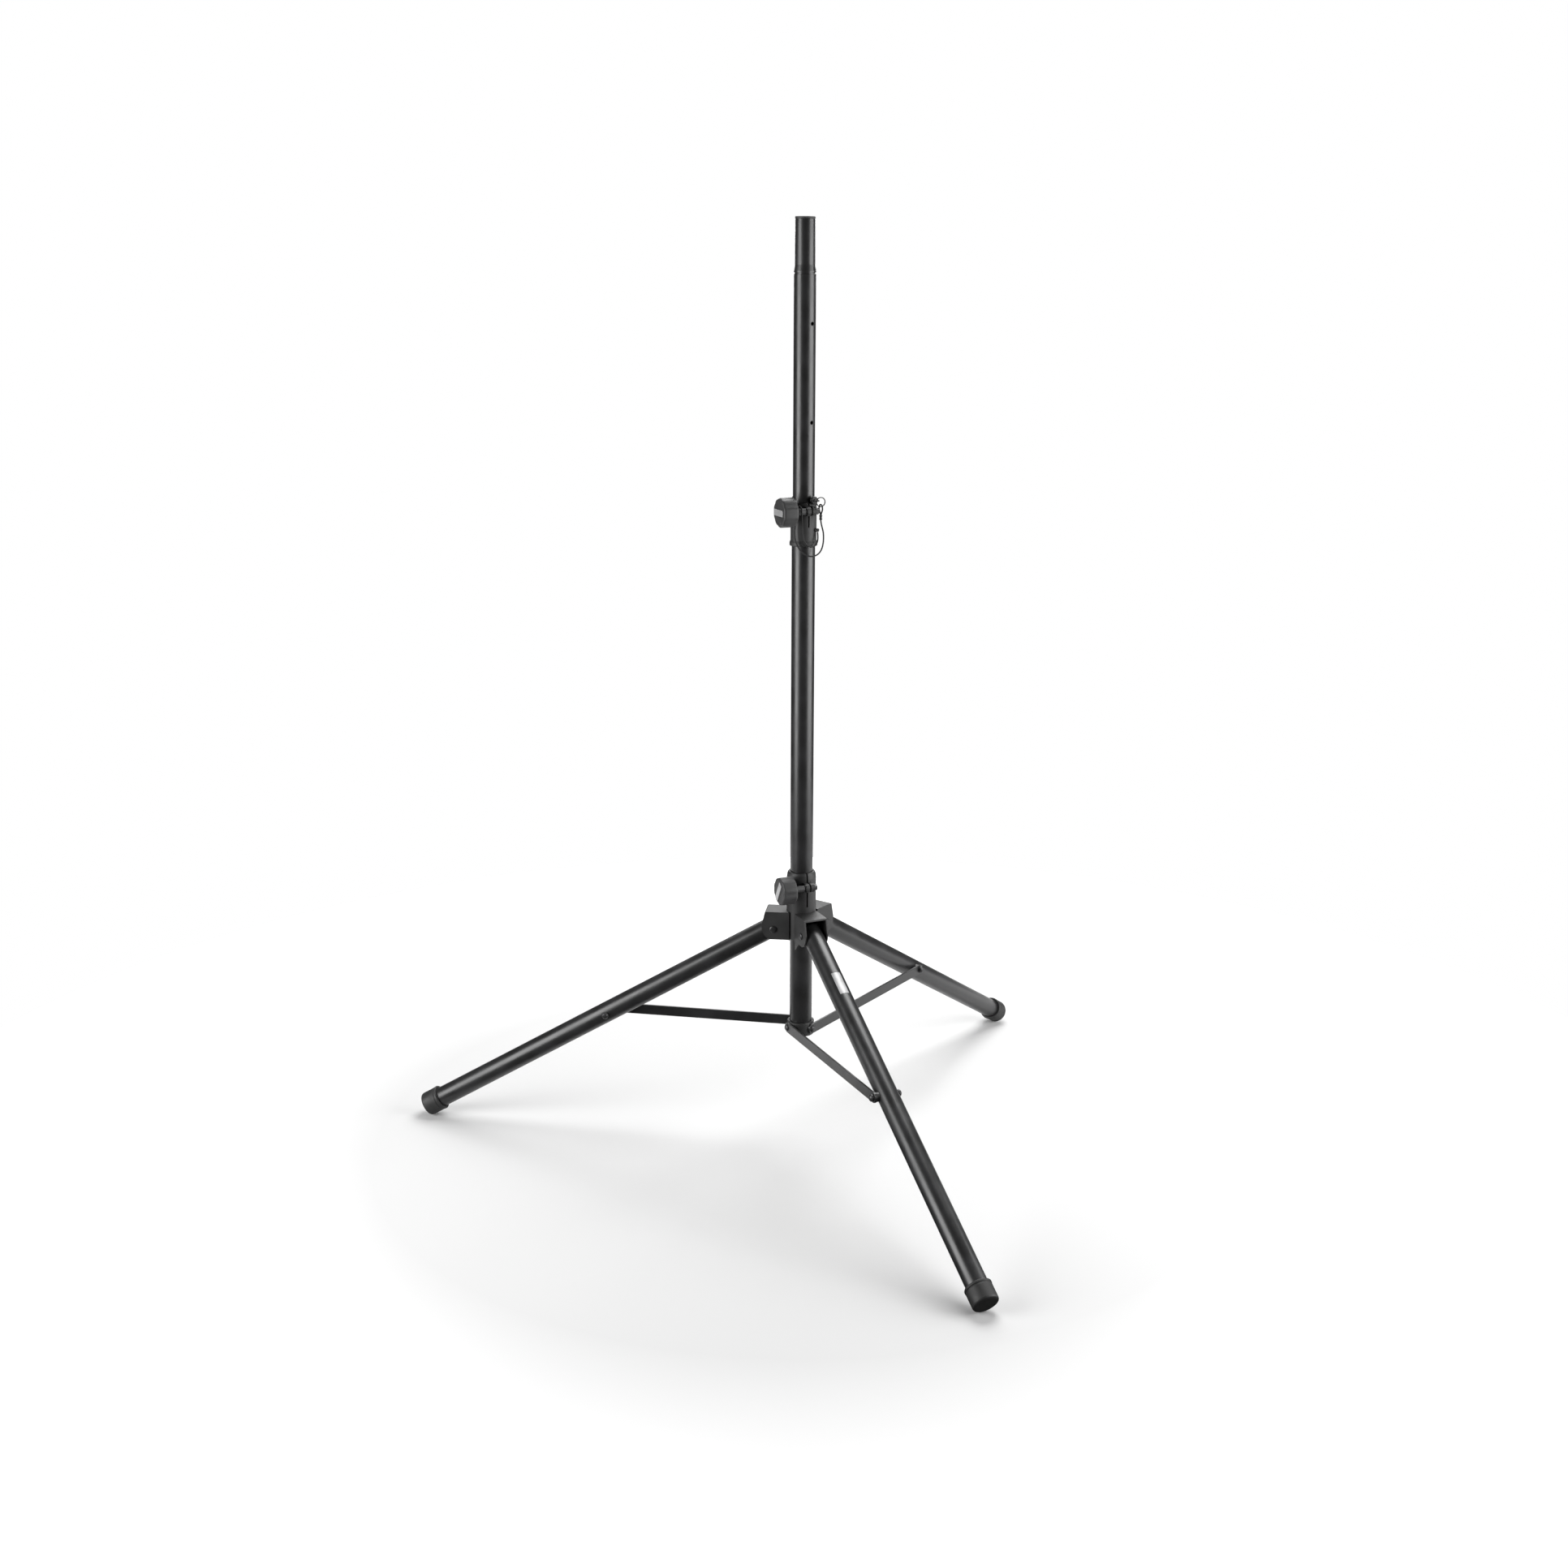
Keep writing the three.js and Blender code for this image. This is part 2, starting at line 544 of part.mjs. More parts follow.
function brace() {
  const half = BRACE.width / 2;
  const outline = [];
  for (const [centre, start] of [[0, 90], [BRACE_LENGTH, -90]]) {
    for (let step = 0; step <= 8; step += 1) {
      const angle = radians(start + (step / 8) * 180);
      outline.push([centre + half * Math.cos(angle), half * Math.sin(angle)]);
    }
  }
  const holes = [[0, 0, BOLT.hole], [BRACE_LENGTH, 0, BOLT.hole]];
  return prismXZ(outline, -BRACE.near - BRACE.thickness, -BRACE.near, holes);
}

// Dome nut on the brace's outer face, with the stub of thread that fills the brace's hole.
function braceNut() {
  const face = -BRACE.near - BRACE.thickness - GAP;
  const stub = rod(BOLT.radius, face - 0.5, -BRACE.near - 0.2);
  const dome = turned([
    [0, face - 6.5], [3.5, face - 6.5], [BOLT.head, face - 4], [BOLT.head, face], [0, face],
  ], SMALL);
  return alongY(join(stub, dome)).translate(BRACE_LENGTH, 0, 0);
}

const tripod = new THREE.Group();
LEG_AZIMUTHS.forEach((azimuth, i) => {
  const number = i + 1;
  const around = new THREE.Group();
  around.rotation.z = radians(azimuth);

  const leg = new THREE.Group();
  leg.position.set(LEG_PIVOT.reach, 0, LEG_PIVOT.height);
  leg.rotation.y = LEG_ANGLE;
  leg.add(piece(`leg_tube_${number}`, legTube(), "powder"));
  leg.add(piece(`leg_plug_${number}`, legPlug(), "bush"));
  leg.add(piece(`foot_${number}`, foot(), "rubber"));
  leg.add(piece(`brace_bolt_${number}`, braceBolt(), "hardware"));
  leg.add(piece(`brace_spacer_${number}`, braceSpacer(), "bush"));

  const bar = new THREE.Group();
  bar.position.z = BRACE_HUB.pivot;
  bar.rotation.y = -BRACE_ANGLE;
  bar.add(piece(`brace_${number}`, brace(), "powder"));
  bar.add(piece(`brace_nut_${number}`, braceNut(), "hardware"));

  around.add(leg, bar);
  tripod.add(around);
});

const stand = new THREE.Group();
stand.position.y = POLE_Y;
stand.add(mast, upperPole, safetyPin, upperKnob, hubKnob, hub, tripod);

export default stand;
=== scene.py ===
import math

import bmesh
import bpy
import numpy as np
from mathutils import Matrix, Vector


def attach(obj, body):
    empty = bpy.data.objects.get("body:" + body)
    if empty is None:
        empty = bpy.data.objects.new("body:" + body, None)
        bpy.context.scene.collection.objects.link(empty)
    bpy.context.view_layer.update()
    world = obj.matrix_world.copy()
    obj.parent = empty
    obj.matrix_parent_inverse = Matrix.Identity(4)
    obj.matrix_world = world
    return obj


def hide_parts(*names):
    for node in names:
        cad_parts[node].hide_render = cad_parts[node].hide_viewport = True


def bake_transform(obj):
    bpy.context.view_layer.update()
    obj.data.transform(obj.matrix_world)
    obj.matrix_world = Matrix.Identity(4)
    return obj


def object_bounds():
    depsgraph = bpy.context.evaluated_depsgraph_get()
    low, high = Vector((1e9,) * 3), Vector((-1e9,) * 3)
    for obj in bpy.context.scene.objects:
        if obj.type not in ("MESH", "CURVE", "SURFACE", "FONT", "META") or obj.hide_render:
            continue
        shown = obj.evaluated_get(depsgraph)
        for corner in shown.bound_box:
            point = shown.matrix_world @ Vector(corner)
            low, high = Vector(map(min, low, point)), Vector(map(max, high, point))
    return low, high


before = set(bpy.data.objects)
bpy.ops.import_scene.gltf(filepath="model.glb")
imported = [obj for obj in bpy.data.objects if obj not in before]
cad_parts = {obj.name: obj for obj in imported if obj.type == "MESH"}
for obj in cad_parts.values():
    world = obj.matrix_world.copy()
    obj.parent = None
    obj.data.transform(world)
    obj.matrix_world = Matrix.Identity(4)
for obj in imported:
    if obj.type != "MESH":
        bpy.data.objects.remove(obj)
cad_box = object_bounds()
scene = bpy.context.scene

# ---- sizes, in millimetres, in the frame of the CAD ---------------------------------------
MM = 0.001
POLE_Y = 178.0
LEG_AZIMUTHS = (-90, 30, 150)
FINE = 96
LEG_ANGLE = 30.28
LEG_PIVOT = (50.0, 415.4)
BRACE_AT = 370.0
BRACE_PIVOT = 219.5
OUTER_PIVOT = (
    LEG_PIVOT[0] + BRACE_AT * math.cos(math.radians(LEG_ANGLE)),
    LEG_PIVOT[1] - BRACE_AT * math.sin(math.radians(LEG_ANGLE)) - BRACE_PIVOT,
)
BRACE_LENGTH = math.hypot(*OUTER_PIVOT)
BRACE_ANGLE = math.degrees(math.atan2(OUTER_PIVOT[1], OUTER_PIVOT[0]))
PIN_AZIMUTH = -70
PIN_HOLES = (885, 1045, 1205, 1338, 1504.5)
CORD_RADIUS = 1.3


def turn(axis, degrees):
    return Matrix.Rotation(math.radians(degrees), 4, axis)


def shift(x, y, z):
    return Matrix.Translation((x, y, z))


ALONG_X = turn("Y", 90)
ALONG_Y = turn("X", -90)
TO_LEFT = turn("Y", -90)
POLE = shift(0, POLE_Y, 0)

# ---- camera ---------------------------------------------------------------------------------
CAMERA_TURN = -23.878
CAMERA_BACK = 3445.4
CAMERA_HEIGHT = 1603.5
PITCH, YAW, ROLL = 0.2595, -0.0095, 0.0035


def make_camera():
    forward = Vector((
        math.sin(YAW) * math.cos(PITCH), math.cos(YAW) * math.cos(PITCH), -math.sin(PITCH),
    ))
    right = forward.cross(Vector((0, 0, 1))).normalized()
    up = right.cross(forward)
    right, up = (
        math.cos(ROLL) * right + math.sin(ROLL) * up,
        math.cos(ROLL) * up - math.sin(ROLL) * right,
    )
    facing = Matrix((right, up, -forward)).transposed().to_4x4()
    data = bpy.data.cameras.new("camera")
    data.lens, data.sensor_width = 45.004, 36.0
    data.clip_start, data.clip_end = 0.05, 100
    camera = bpy.data.objects.new("camera", data)
    scene.collection.objects.link(camera)
    place = POLE @ turn("Z", CAMERA_TURN) @ shift(0, -CAMERA_BACK, CAMERA_HEIGHT)
    place.translation *= MM
    camera.matrix_world = place @ facing
    scene.camera = camera


make_camera()
scene.view_settings.view_transform = "Standard"


# ---- materials ------------------------------------------------------------------------------
def new_material(name, roughness, metallic=0.0, specular=0.5, coat=0.0):
    material = bpy.data.materials.new(name)
    material.use_nodes = True
    nodes = material.node_tree.nodes
    shader = nodes["Principled BSDF"]
    shader.inputs["Roughness"].default_value = roughness
    shader.inputs["Metallic"].default_value = metallic
    shader.inputs["Specular IOR Level"].default_value = specular
    shader.inputs["Coat Weight"].default_value = coat
    shader.inputs["Coat Roughness"].default_value = 0.25
    return material, nodes, material.node_tree.links, shader


def noise(nodes, links, source, scale, detail=2.0, stretch=None):
    if stretch:
        mapping = nodes.new("ShaderNodeMapping")
        mapping.inputs["Scale"].default_value = stretch
        links.new(source, mapping.inputs["Vector"])
        source = mapping.outputs["Vector"]
    texture = nodes.new("ShaderNodeTexNoise")
    texture.inputs["Scale"].default_value = scale
    texture.inputs["Detail"].default_value = detail
    links.new(source, texture.inputs["Vector"])
    return texture.outputs["Fac"]


def spread(nodes, links, value, low, high, target):
    """Sends a pattern, as values from low to high, to a shader's socket."""
    remap = nodes.new("ShaderNodeMapRange")
    remap.inputs["From Min"].default_value = 0.3
    remap.inputs["From Max"].default_value = 0.7
    remap.inputs["To Min"].default_value = low
    remap.inputs["To Max"].default_value = high
    links.new(value, remap.inputs["Value"])
    links.new(remap.outputs["Result"], target)


def tint(nodes, links, value, dark, light, target):
    ramp = nodes.new("ShaderNodeValToRGB")
    ramp.color_ramp.elements[0].position = 0.3
    ramp.color_ramp.elements[0].color = (*dark, 1)
    ramp.color_ramp.elements[1].position = 0.7
    ramp.color_ramp.elements[1].color = (*light, 1)
    links.new(value, ramp.inputs["Fac"])
    links.new(ramp.outputs["Color"], target)


def bump(nodes, links, height, strength, distance, target):
    node = nodes.new("ShaderNodeBump")
    node.inputs["Strength"].default_value = strength
    node.inputs["Distance"].default_value = distance
    links.new(height, node.inputs["Height"])
    links.new(node.outputs["Normal"], target)


def surface(name, dark, light, rough, grain, metallic=0.0, mottle=26, stretch=None,
            specular=0.5, coat=0.0):
    """A finish with a fine grain that bumps, and a broad mottle in its colour and gloss.
    rough is (low, high), and grain is (scale per metre, strength, height in metres)."""
    material, nodes, links, shader = new_material(name, rough[0], metallic, specular, coat)
    place = nodes.new("ShaderNodeTexCoord").outputs["Object"]
    broad = noise(nodes, links, place, mottle, 4.0)
    fine = noise(nodes, links, place, grain[0], 2.0, stretch)
    tint(nodes, links, broad, dark, light, shader.inputs["Base Color"])
    spread(nodes, links, fine if stretch else broad, *rough, shader.inputs["Roughness"])
    bump(nodes, links, fine, grain[1], grain[2], shader.inputs["Normal"])
    return material


def grey(value, blue=0.0):
    return (value, value, value + blue)


POWDER = surface("powder_coat", grey(0.012), grey(0.019, 0.001), (0.3, 0.4),
                 (620, 0.16, 0.0003), specular=0.55)
HUB = surface("hub_moulding", grey(0.015), grey(0.024), (0.48, 0.58), (1500, 0.35, 0.0003))
KNOB = surface("knob_moulding", grey(0.024), grey(0.036, 0.001), (0.5, 0.6),
               (1900, 0.3, 0.0002), mottle=60)
BUSH = surface("bush_plastic", grey(0.018), grey(0.026), (0.38, 0.46), (900, 0.1, 0.0002))
RUBBER = surface("foot_rubber", grey(0.009), grey(0.015), (0.5, 0.64), (800, 0.4, 0.0004),
                 mottle=70)
HARDWARE = surface("black_hardware", grey(0.03), grey(0.055, 0.002), (0.34, 0.46),
                   (700, 0.12, 0.0002), metallic=0.5, mottle=140)
WIRE = surface("ring_wire", grey(0.07), grey(0.11), (0.28, 0.38), (900, 0.08, 0.0001),
               metallic=1.0, mottle=200)
BRASS = surface("brass", (0.45, 0.3, 0.1), (0.6, 0.42, 0.16), (0.3, 0.42),
                (900, 0.15, 0.0002), metallic=1.0)
PLATE = surface("silver_plate", grey(0.33), grey(0.42, 0.006), (0.34, 0.46),
                (900, 0.12, 0.00012), metallic=0.35, mottle=50, stretch=(1, 0.06, 1))


def cord_sheath():
    """Braid: two sets of strands that wind opposite ways round the cord."""
    material, nodes, links, shader = new_material("cord_sheath", 0.72, specular=0.35)
    uv = nodes.new("ShaderNodeTexCoord").outputs["UV"]
    waves = []
    for slant in (1, -1):
        mapping = nodes.new("ShaderNodeMapping")
        mapping.inputs["Rotation"].default_value = (0, 0, slant * math.radians(45))
        links.new(uv, mapping.inputs["Vector"])
        wave = nodes.new("ShaderNodeTexWave")
        wave.inputs["Scale"].default_value = 2.8
        links.new(mapping.outputs["Vector"], wave.inputs["Vector"])
        waves.append(wave.outputs["Fac"])
    both = nodes.new("ShaderNodeMath")
    both.operation = "MAXIMUM"
    links.new(waves[0], both.inputs[0])
    links.new(waves[1], both.inputs[1])
    height = both.outputs["Value"]
    # The colour follows the braid's height: painted shade darkens the grooves between the strands,
    # and the crests stay lighter.
    tint(nodes, links, height, grey(0.006), grey(0.024), shader.inputs["Base Color"])
    spread(nodes, links, height, 0.8, 0.62, shader.inputs["Roughness"])
    bump(nodes, links, height, 0.6, 0.0002, shader.inputs["Normal"])
    return material


CORD = cord_sheath()


# ---- meshes ---------------------------------------------------------------------------------
def rounded(points, steps=5, closed=False):
    """Corners that have a third number are rounded to that radius."""
    out = []
    count = len(points)
    for i, point in enumerate(points):
        here = Vector(point[:2])
        inner = closed or 0 < i < count - 1
        if len(point) == 2 or not inner:
            out.append(tuple(here))
            continue
        before = Vector(points[i - 1][:2]) - here
        after = Vector(points[(i + 1) % count][:2]) - here
        half = before.angle(after) / 2
        reach = min(point[2] / math.tan(half), 0.49 * before.length, 0.49 * after.length)
        radius = reach * math.tan(half)
        middle = (before.normalized() + after.normalized()).normalized()
        centre = here + middle * (radius / math.sin(half))
        start = here + before.normalized() * reach - centre
        end = here + after.normalized() * reach - centre
        sweep = start.angle_signed(end)
        for k in range(steps + 1):
            a = -sweep * k / steps
            out.append((
                centre.x + start.x * math.cos(a) - start.y * math.sin(a),
                centre.y + start.x * math.sin(a) + start.y * math.cos(a),
            ))
    return out


def to_object(name, bm, place):
    bmesh.ops.recalc_face_normals(bm, faces=bm.faces)
    bm.transform(Matrix.Scale(MM, 4) @ place)
    mesh = bpy.data.meshes.new(name)
    bm.to_mesh(mesh)
    bm.free()
    obj = bpy.data.objects.new(name, mesh)
    scene.collection.objects.link(obj)
    return obj


def lathe(profile, place=POLE, segments=FINE, name="turned", closed=False):
    """A profile of (radius, height) pairs turned about Z; closed joins its two ends."""
    bm = bmesh.new()
    rings = []
    for radius, height in rounded(profile, closed=closed):
        if radius < 1e-6:
            rings.append([bm.verts.new((0, 0, height))])
            continue
        rings.append([
            bm.verts.new((
                radius * math.cos(2 * math.pi * i / segments),
                radius * math.sin(2 * math.pi * i / segments),
                height,
            ))
            for i in range(segments)
        ])
    pairs = list(zip(rings, rings[1:]))
    if closed:
        pairs.append((rings[-1], rings[0]))
    for a, b in pairs:
        for i in range(segments):
            j = (i + 1) % segments
            corners = [a[i % len(a)], a[j % len(a)], b[j % len(b)], b[i % len(b)]]
            corners = list(dict.fromkeys(corners))
            if len(corners) > 2:
                bm.faces.new(corners)
    return to_object(name, bm, place)


def pipe(inner, outer, low, high, place=POLE, edge=0.3, segments=FINE):
    profile = [(inner, low), (outer, low, edge), (outer, high, edge), (inner, high)]
    return lathe(profile, place, segments, closed=True)


def rod(radius, low, high, place=POLE, segments=32):
    return lathe([(0, low), (radius, low), (radius, high), (0, high)], place, segments)


def prism(outline, low, high, place=POLE, steps=10):
    """A closed outline in XY, extruded along Z."""
    points = rounded(outline, steps, closed=True)
    bm = bmesh.new()
    bottom = [bm.verts.new((x, y, low)) for x, y in points]
    top = [bm.verts.new((x, y, high)) for x, y in points]
    bm.faces.new(bottom)
    bm.faces.new(top)
    for i in range(len(points)):
        j = (i + 1) % len(points)
        bm.faces.new((bottom[i], bottom[j], top[j], top[i]))
    return to_object("prism", bm, place)


def block(low, high, place=POLE):
    outline = [(low[0], low[1]), (high[0], low[1]), (high[0], high[1]), (low[0], high[1])]
    return prism(outline, low[2], high[2], place)


def cut(obj, *tools):
    for tool in tools:
        step = obj.modifiers.new("cut", "BOOLEAN")
        step.object, step.operation, step.solver = tool, "DIFFERENCE", "EXACT"
    bpy.context.view_layer.update()
    graph = bpy.context.evaluated_depsgraph_get()
    mesh = bpy.data.meshes.new_from_object(obj.evaluated_get(graph))
    obj.modifiers.clear()
    obj.data = mesh
    for tool in tools:
        bpy.data.objects.remove(tool)
    return obj


def copied(obj, place):
    """A copy of obj moved by place, which is in millimetres."""
    twin = bpy.data.objects.new(obj.name, obj.data.copy())
    scene.collection.objects.link(twin)
    scale = Matrix.Scale(MM, 4)
    twin.data.transform(scale @ place @ scale.inverted())
    return twin


def together(*parts):
    bm = bmesh.new()
    for part in parts:
        bm.from_mesh(part.data)
    for part in parts:
        bpy.data.objects.remove(part)
    mesh = bpy.data.meshes.new("together")
    bm.to_mesh(mesh)
    bm.free()
    obj = bpy.data.objects.new("together", mesh)
    scene.collection.objects.link(obj)
    return obj


def smooth(obj, angle=32):
    obj.data.shade_smooth()
    obj.data.set_sharp_from_angle(angle=math.radians(angle))


def dress(obj, node, material, body, bevel=0.0, name=None):
    """Names and paints a piece that stands for a CAD node, and puts it on its body."""
    obj.name = name or f"{node}_look"
    obj.data.materials.clear()
    obj.data.materials.append(material)
    smooth(obj)
    if bevel:
        edge = obj.modifiers.new("edges", "BEVEL")
        edge.width, edge.segments = bevel * MM, 3
        edge.limit_method, edge.angle_limit = "ANGLE", math.radians(32)
        edge.harden_normals = True
    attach(obj, body)
    if node:
        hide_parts(node)
    return obj


# ---- cords ----------------------------------------------------------------------------------
LANYARD_ROUTE = (
    (17.7, -21.1, 1149.2), (17.6, -22.5, 1142), (15.8, -25.2, 1134), (11, -27.7, 1127.5),
    (4, -29.2, 1124.5), (-4, -29.8, 1127), (-10.5, -30.5, 1134), (-14.5, -32, 1144),
    (-17, -34.3, 1156), (-19, -36.8, 1169), (-20, -37.9, 1179.5),
    (-20.3, -38.3, 1188), (-20.38, -37.67, 1191.18), (-20.46, -35.87, 1193.87),
    (-20.54, -33.18, 1195.67), (-20.62, -30, 1196.3), (-20.7, -26.82, 1195.67),
    (-20.78, -24.13, 1193.87), (-20.86, -22.33, 1191.18), (-20.94, -21.7, 1188),
    (-21.2, -21.6, 1183.5), (-22, -20.7, 1178), (-23.5, -18.5, 1164), (-24.5, -17.2, 1150),
    (-23.5, -18.8, 1136), (-19.5, -23.4, 1123), (-12, -28.7, 1113.5), (-2.5, -32, 1109),
    (8, -33, 1109.5), (17, -32.5, 1115), (22.5, -31.7, 1125), (24.5, -31.2, 1138),
    (23.5, -31, 1152), (20.6, -31, 1162.5), (19, -31, 1171.2),
)
EYE_HALF = (
    (1.5, 1180.3), (2.15, 1182.56), (3.45, 1184.53), (4.98, 1186.34), (6.3, 1188.3),
    (7.01, 1190.54), (6.91, 1192.89), (6.01, 1195.07), (4.42, 1196.81), (2.33, 1197.89),
)
EYE_ROUTE = (
    *[(19, -31 - half, height) for half, height in EYE_HALF],
    (19, -31, 1198.2),
    *[(19, -31 + half, height) for half, height in reversed(EYE_HALF)],
)


def spline(points, count):
    """Evenly spaced points, in millimetres, on the natural cubic through the given ones."""
    known = np.array(points, float)
    knots = np.r_[0, np.cumsum(np.linalg.norm(np.diff(known, axis=0), axis=1))]
    gaps = np.diff(knots)
    size = len(knots)
    system, right = np.eye(size), np.zeros((size, 3))
    slopes = np.diff(known, axis=0) / gaps[:, None]
    for i in range(1, size - 1):
        system[i, i - 1:i + 2] = gaps[i - 1], 2 * (gaps[i - 1] + gaps[i]), gaps[i]
        right[i] = 6 * (slopes[i] - slopes[i - 1])
    second = np.linalg.solve(system, right)

    def at(where):
        i = np.clip(np.searchsorted(knots, where) - 1, 0, size - 2)
        a, b, h = (knots[i + 1] - where)[:, None], (where - knots[i])[:, None], gaps[i][:, None]
        return (
            (second[i] * a ** 3 + second[i + 1] * b ** 3) / (6 * h)
            + (known[i] / h - second[i] * h / 6) * a
            + (known[i + 1] / h - second[i + 1] * h / 6) * b
        )

    dense = at(np.linspace(0, knots[-1], 6000))
    run = np.r_[0, np.cumsum(np.linalg.norm(np.diff(dense, axis=0), axis=1))]
    even = np.linspace(0, run[-1], count)
    return np.stack([np.interp(even, run, dense[:, k]) for k in range(3)], -1), run[-1]


def cord_mesh(name, route, count, sides=16):
    line, length = spline(route, count)
    path = [Vector(p) + Vector((0, POLE_Y, 0)) for p in line]
    bm = bmesh.new()
    uv = bm.loops.layers.uv.new("along")
    forward = (path[1] - path[0]).normalized()
    across = forward.orthogonal().normalized()
    rings = []
    for i, point in enumerate(path):
        ahead = (path[min(i + 1, count - 1)] - path[max(i - 1, 0)]).normalized()
        across = (across - ahead * across.dot(ahead)).normalized()
        other = ahead.cross(across)
        rings.append([
            bm.verts.new(
                point
                + across * (CORD_RADIUS * math.cos(2 * math.pi * k / sides))
                + other * (CORD_RADIUS * math.sin(2 * math.pi * k / sides))
            )
            for k in range(sides)
        ])
    step = length / (count - 1) / (2 * math.pi * CORD_RADIUS)
    for i in range(count - 1):
        for k in range(sides):
            j = (k + 1) % sides
            face = bm.faces.new((rings[i][k], rings[i][j], rings[i + 1][j], rings[i + 1][k]))
            around = (k / sides, (k + 1) / sides)
            spots = ((i, around[0]), (i, around[1]), (i + 1, around[1]), (i + 1, around[0]))
            for loop, (row, v) in zip(face.loops, spots):
                loop[uv].uv = (row * step, v)
    bm.faces.new(rings[0])
    bm.faces.new(rings[-1])
    obj = to_object(name, bm, Matrix.Identity(4))
    obj.data.materials.append(CORD)
    smooth(obj, 60)
    return obj, [tuple(p * MM) for p in path], length * MM


def make_cords():
    crimp = lathe([
        (0, 1171.5), (2.6, 1171.5, 0.5), (2.8, 1173, 0.5), (2.3, 1174.2, 0.5), (2.3, 1177.3, 0.5),
        (2.8, 1178.5, 0.5), (2.6, 1180, 0.5), (0, 1180),
    ], POLE @ shift(19, -31, 0), 48)
    dress(crimp, "lanyard_crimp", HARDWARE, "upper_pole")

    lanyard, path, length = cord_mesh("lanyard_look", LANYARD_ROUTE, 420)
    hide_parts("lanyard")
    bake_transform(lanyard)

    eye, path, length = cord_mesh("lanyard_eye_look", EYE_ROUTE, 120)
    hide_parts("lanyard_eye")
    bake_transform(eye)


make_cords()


# ---- clamps and knobs -----------------------------------------------------------------------
def clamp_ears(bolt, height, start):
    """The two lugs that the clamp bolt draws together, either side of the slit."""
    outline = [
        (start, height - 8), (8 - bolt, height - 8, 7), (8 - bolt, height + 8, 7),
        (start, height + 8),
    ]
    facing = POLE @ Matrix(((0, 0, 1, 0), (-1, 0, 0, 0), (0, 1, 0, 0), (0, 0, 0, 1)))
    return [prism(outline, *side, facing) for side in ((1.4, 8.0), (-8.0, -1.4))]


def clamp_hardware(prefix, bolt, height, body):
    place = POLE @ shift(0, bolt, height) @ ALONG_X
    hexagon = [
        (6.2 * math.cos(math.radians(60 * k)), 6.2 * math.sin(math.radians(60 * k)))
        for k in range(6)
    ]
    head = together(
        rod(4, -50, 9.3, place),
        lathe([(0, 8.3), (7.4, 8.3, 0.3), (7.4, 9.4, 0.5), (5.5, 9.9), (0, 9.9)], place, 64),
        prism(hexagon, 9.3, 14.6, place),
    )
    dress(head, f"{prefix}_clamp_bolt", HARDWARE, body, 0.45)
    washer = pipe(4.4, 7.4, -9.7, -8.3, place, segments=48)
    dress(washer, f"{prefix}_clamp_washer", HARDWARE, body)


def knob(name, bolt, height, plate_turn):
    place = POLE @ shift(0, bolt, height) @ TO_LEFT
    segments, edge, near, far = 200, 4.0, 32.0, 60.0
    arc = [math.radians(90 * k / 8) for k in range(9)]
    profile = [(0, near), (-edge - 7, near)]
    profile += [(edge * math.sin(a) - edge, near + edge - edge * math.cos(a)) for a in arc]
    profile += [(edge * math.cos(a) - edge, far - edge + edge * math.sin(a)) for a in arc]
    profile += [(-edge - 2.5, far), (-edge - 3.1, far - 0.5), (0, far - 0.5)]
    bm = bmesh.new()
    rings = []
    for index, (inset, z) in enumerate(profile):
        if index in (0, len(profile) - 1):
            rings.append([bm.verts.new((0, 0, z))])
            continue
        ring = []
        for i in range(segments):
            a = 2 * math.pi * i / segments
            r = 25.5 + 0.5 * math.cos(10 * a) + inset
            ring.append(bm.verts.new((r * math.cos(a), r * math.sin(a), z)))
        rings.append(ring)
    for a, b in zip(rings, rings[1:]):
        for i in range(segments):
            j = (i + 1) % segments
            corners = [a[i % len(a)], a[j % len(a)], b[j % len(b)], b[i % len(b)]]
            corners = list(dict.fromkeys(corners))
            bm.faces.new(corners)
    grip = to_object("grip", bm, place)
    stem = lathe([(0, 10), (6, 10, 0.5), (6, 30, 2), (9, 32.5), (0, 33)], place)
    dress(together(grip, stem), name, KNOB, name)
    plate = prism(
        [(-5.5, -19, 1.2), (5.5, -19, 1.2), (5.5, 19, 1.2), (-5.5, 19, 1.2)],
        59.5, 61.5, place @ turn("Z", plate_turn),
    )
    dress(plate, f"{name}_plate", PLATE, name, 0.25)


# ---- mast -----------------------------------------------------------------------------------
dress(pipe(19.35, 20.65, 232, 1165), "lower_tube", POWDER, "mast")

collar = lathe([
    (20.95, 1124), (24.6, 1124, 1.6), (24.6, 1130, 1.2), (22.9, 1134, 2), (22.9, 1200, 2.6),
    (19.5, 1200, 0.4), (19.5, 1197.3), (20.95, 1197.3),
], closed=True)
collar = cut(collar, block((-1.4, -45, 1158), (1.4, -18, 1203)))
collar = together(collar, *clamp_ears(-30, 1187, 21.1))
dress(collar, "upper_collar", HUB, "mast", 0.35)
clamp_hardware("collar", -30, 1187, "mast")

ANCHOR_PLACE = POLE @ turn("Z", -50) @ shift(0, 0, 1152.6) @ ALONG_X
anchor = together(
    rod(1.5, 21.3, 24, ANCHOR_PLACE),
    lathe([(0, 23.2), (3, 23.2, 0.4), (3, 29.7, 1.2), (0, 29.7)], ANCHOR_PLACE, 48),
)
dress(anchor, "lanyard_anchor", HARDWARE, "mast")

